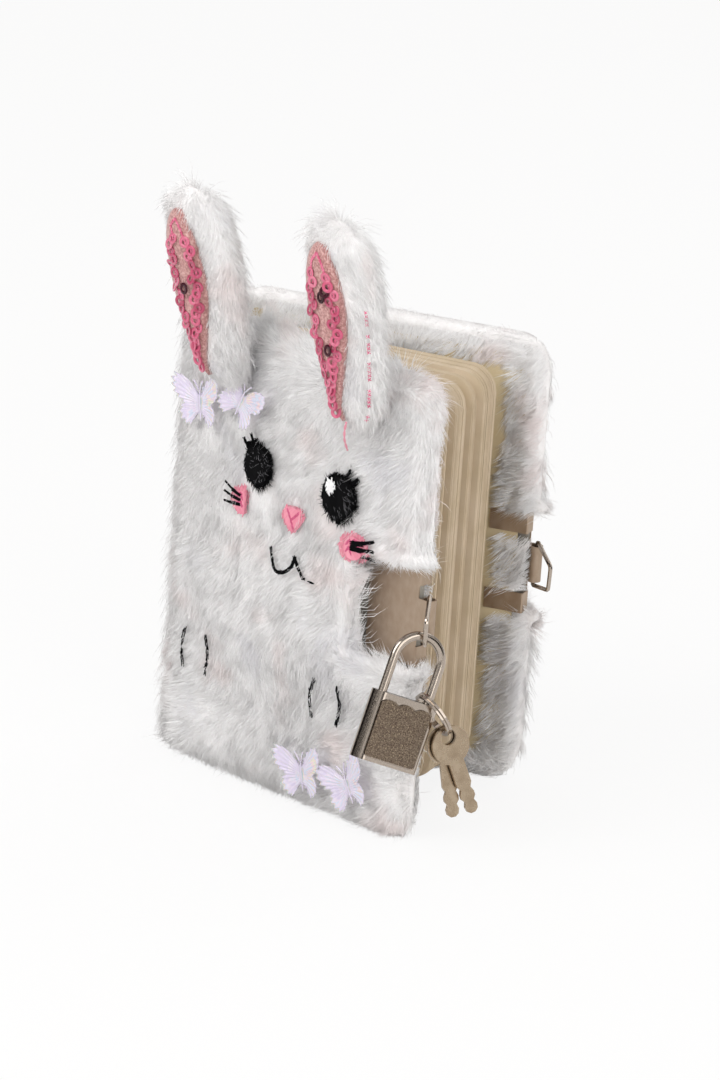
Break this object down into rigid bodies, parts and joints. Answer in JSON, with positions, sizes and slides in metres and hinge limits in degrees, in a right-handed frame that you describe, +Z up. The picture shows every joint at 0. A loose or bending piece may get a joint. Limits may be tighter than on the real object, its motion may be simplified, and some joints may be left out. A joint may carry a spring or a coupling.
{
  "type": "plush journal",
  "caption": "Furry hardcover journal with a rabbit face and ears on its cover, fanned pages, and a clasp closed by a small padlock with keys.",
  "frame": {"origin": "on the table, under the middle of the spine board", "axes": "+Z up along the spine, +X along the back cover towards its fore-edge, +Y out of the back cover; the front cover turns towards -Y"},
  "size_m": [0.1375, 0.1185, 0.2132],
  "materials": {
    "greyboard": "matt",
    "plush": "long soft pile",
    "mull": "woven",
    "paper": "matt",
    "wadding": "soft",
    "plated_steel": "satin",
    "velvet": "short pile",
    "sequin": "gloss",
    "black_thread": "stitched",
    "pink_thread": "stitched",
    "white_thread": "stitched",
    "film": "iridescent",
    "nickel": "polished",
    "cast_panel": "grained",
    "zinc": "cast",
    "key_metal": "satin"
  },
  "bodies": {
    "spine": {"spine_board": "greyboard", "spine_plush": "plush", "text_block_spine_strip": "mull"},
    "front_cover": {"front_board": "greyboard", "front_padding": "wadding", "front_plush": "plush", "front_endpaper": "paper", "front_clasp_plate": "plated_steel", "left_eye": "black_thread", "left_cheek": "pink_thread", "left_cheek_lashes": "black_thread", "right_eye": "black_thread", "right_cheek": "pink_thread", "right_cheek_lashes": "black_thread", "right_eye_highlight": "white_thread", "nose": "pink_thread", "mouth": "black_thread", "left_paw_outer_toe": "black_thread", "left_paw_inner_toe": "black_thread", "right_paw_outer_toe": "black_thread", "right_paw_inner_toe": "black_thread", "ear_butterfly_left": "film", "ear_butterfly_right": "film", "foot_butterfly_left": "film", "foot_butterfly_right": "film"},
    "back_cover": {"back_board": "greyboard", "back_padding": "wadding", "back_plush": "plush", "back_endpaper": "paper", "back_clasp_plate": "plated_steel"},
    "gathering_1": {"page_gathering_1": "paper"},
    "gathering_2": {"page_gathering_2": "paper"},
    "gathering_3": {"page_gathering_3": "paper"},
    "gathering_4": {"page_gathering_4": "paper"},
    "gathering_5": {"page_gathering_5": "paper"},
    "gathering_6": {"page_gathering_6": "paper"},
    "gathering_7": {"page_gathering_7": "paper"},
    "gathering_8": {"page_gathering_8": "paper"},
    "left_ear": {"left_ear": "plush", "left_ear_lining": "velvet", "left_ear_sequins": "sequin"},
    "right_ear": {"right_ear": "plush", "right_ear_lining": "velvet", "right_ear_sequins": "sequin"},
    "front_ring": {"front_clasp_ring": "nickel"},
    "back_ring": {"back_clasp_ring": "nickel"},
    "shackle": {"lock_shackle": "nickel"},
    "lock_body": {"lock_shell": "nickel", "lock_face_panel": "cast_panel", "lock_core": "zinc", "lock_latch_spring": "nickel"},
    "latch": {"lock_latch": "zinc"},
    "key_ring": {"key_ring": "nickel"},
    "key_1": {"key_1": "key_metal"},
    "key_2": {"key_2": "key_metal"}
  },
  "joints": [
    {"name": "front_cover_hinge", "type": "hinge", "parent": "spine", "child": "front_cover", "pos_m": [0.0022, -0.013, 0], "axis": [0, 0, -1], "range_deg": [-22, 68]},
    {"name": "back_cover_hinge", "type": "hinge", "parent": "spine", "child": "back_cover", "pos_m": [0.0022, 0.013, 0], "axis": [0, 0, 1], "range_deg": [0, 90]},
    {"name": "gathering_1_turn", "type": "hinge", "parent": "spine", "child": "gathering_1", "pos_m": [0.00253, 0.0105, 0], "axis": [0, 0, -1], "range_deg": [-4.01, 12.38]},
    {"name": "gathering_2_turn", "type": "hinge", "parent": "spine", "child": "gathering_2", "pos_m": [0.00253, 0.0075, 0], "axis": [0, 0, -1], "range_deg": [-4.71, 14.54]},
    {"name": "gathering_3_turn", "type": "hinge", "parent": "spine", "child": "gathering_3", "pos_m": [0.00253, 0.0045, 0], "axis": [0, 0, -1], "range_deg": [-5.42, 16.71]},
    {"name": "gathering_4_turn", "type": "hinge", "parent": "spine", "child": "gathering_4", "pos_m": [0.00253, 0.0015, 0], "axis": [0, 0, -1], "range_deg": [-8.41, 25.98]},
    {"name": "gathering_5_turn", "type": "hinge", "parent": "spine", "child": "gathering_5", "pos_m": [0.00253, -0.0015, 0], "axis": [0, 0, -1], "range_deg": [-11.22, 34.63]},
    {"name": "gathering_6_turn", "type": "hinge", "parent": "spine", "child": "gathering_6", "pos_m": [0.00253, -0.0045, 0], "axis": [0, 0, -1], "range_deg": [-11.91, 36.8]},
    {"name": "gathering_7_turn", "type": "hinge", "parent": "spine", "child": "gathering_7", "pos_m": [0.00253, -0.0075, 0], "axis": [0, 0, -1], "range_deg": [-14.81, 45.76]},
    {"name": "gathering_8_turn", "type": "hinge", "parent": "spine", "child": "gathering_8", "pos_m": [0.00253, -0.0105, 0], "axis": [0, 0, -1], "range_deg": [-17.21, 53.18]},
    {"name": "left_ear_fold", "type": "hinge", "parent": "front_cover", "child": "left_ear", "pos_m": [0.01956, -0.03943, 0.139], "axis": [0.9272, -0.3746, 0], "range_deg": [0, 80], "stiffness_Nm_per_rad": 0.03, "springref_deg": -11.46},
    {"name": "right_ear_fold", "type": "hinge", "parent": "front_cover", "child": "right_ear", "pos_m": [0.07705, -0.06266, 0.139], "axis": [0.9272, -0.3746, 0], "range_deg": [0, 80], "stiffness_Nm_per_rad": 0.03, "springref_deg": -11.46},
    {"name": "front_ring_swing", "type": "hinge", "parent": "front_cover", "child": "front_ring", "pos_m": [0.10414, -0.05753, 0.078], "axis": [0, 0, 1], "range_deg": [-10, 60]},
    {"name": "back_ring_swing", "type": "hinge", "parent": "back_cover", "child": "back_ring", "pos_m": [0.1134, 0.0161, 0.078], "axis": [0, 0, 1], "range_deg": [-20, 110]},
    {"name": "lock_swing", "type": "hinge", "parent": "front_ring", "child": "shackle", "pos_m": [0.10723, -0.06704, 0.07473], "axis": [0.9272, -0.3746, 0], "range_deg": [-8, 22]},
    {"name": "lock_release", "type": "slide", "parent": "shackle", "child": "lock_body", "axis": [-0.1403, -0.3473, -0.9272], "range_m": [0, 0.006]},
    {"name": "lock_latch_slide", "type": "slide", "parent": "lock_body", "child": "latch", "axis": [0.6944, 0.633, -0.3422], "range_m": [0, 0.0008]},
    {"name": "key_ring_swing", "type": "hinge", "parent": "shackle", "child": "key_ring", "pos_m": [0.10857, -0.06991, 0.05551], "axis": [0.7058, -0.6919, 0.1524], "range_deg": [0, 50]},
    {"name": "key_1_swing", "type": "hinge", "parent": "key_ring", "child": "key_1", "pos_m": [0.11585, -0.06532, 0.04262], "axis": [-0.7058, 0.6919, -0.1524], "range_deg": [-25, 25]},
    {"name": "key_2_swing", "type": "hinge", "parent": "key_ring", "child": "key_2", "pos_m": [0.11585, -0.06532, 0.04262], "axis": [-0.7058, 0.6919, -0.1524], "range_deg": [-25, 18]}
  ],
  "couplings": [
    {"joint": "gathering_1_turn", "follows": "front_cover_hinge", "ratio": 0.18182},
    {"joint": "gathering_2_turn", "follows": "front_cover_hinge", "ratio": 0.21364},
    {"joint": "gathering_3_turn", "follows": "front_cover_hinge", "ratio": 0.24546},
    {"joint": "gathering_4_turn", "follows": "front_cover_hinge", "ratio": 0.38182},
    {"joint": "gathering_5_turn", "follows": "front_cover_hinge", "ratio": 0.50909},
    {"joint": "gathering_6_turn", "follows": "front_cover_hinge", "ratio": 0.54091},
    {"joint": "gathering_7_turn", "follows": "front_cover_hinge", "ratio": 0.67273},
    {"joint": "gathering_8_turn", "follows": "front_cover_hinge", "ratio": 0.78182}
  ]
}
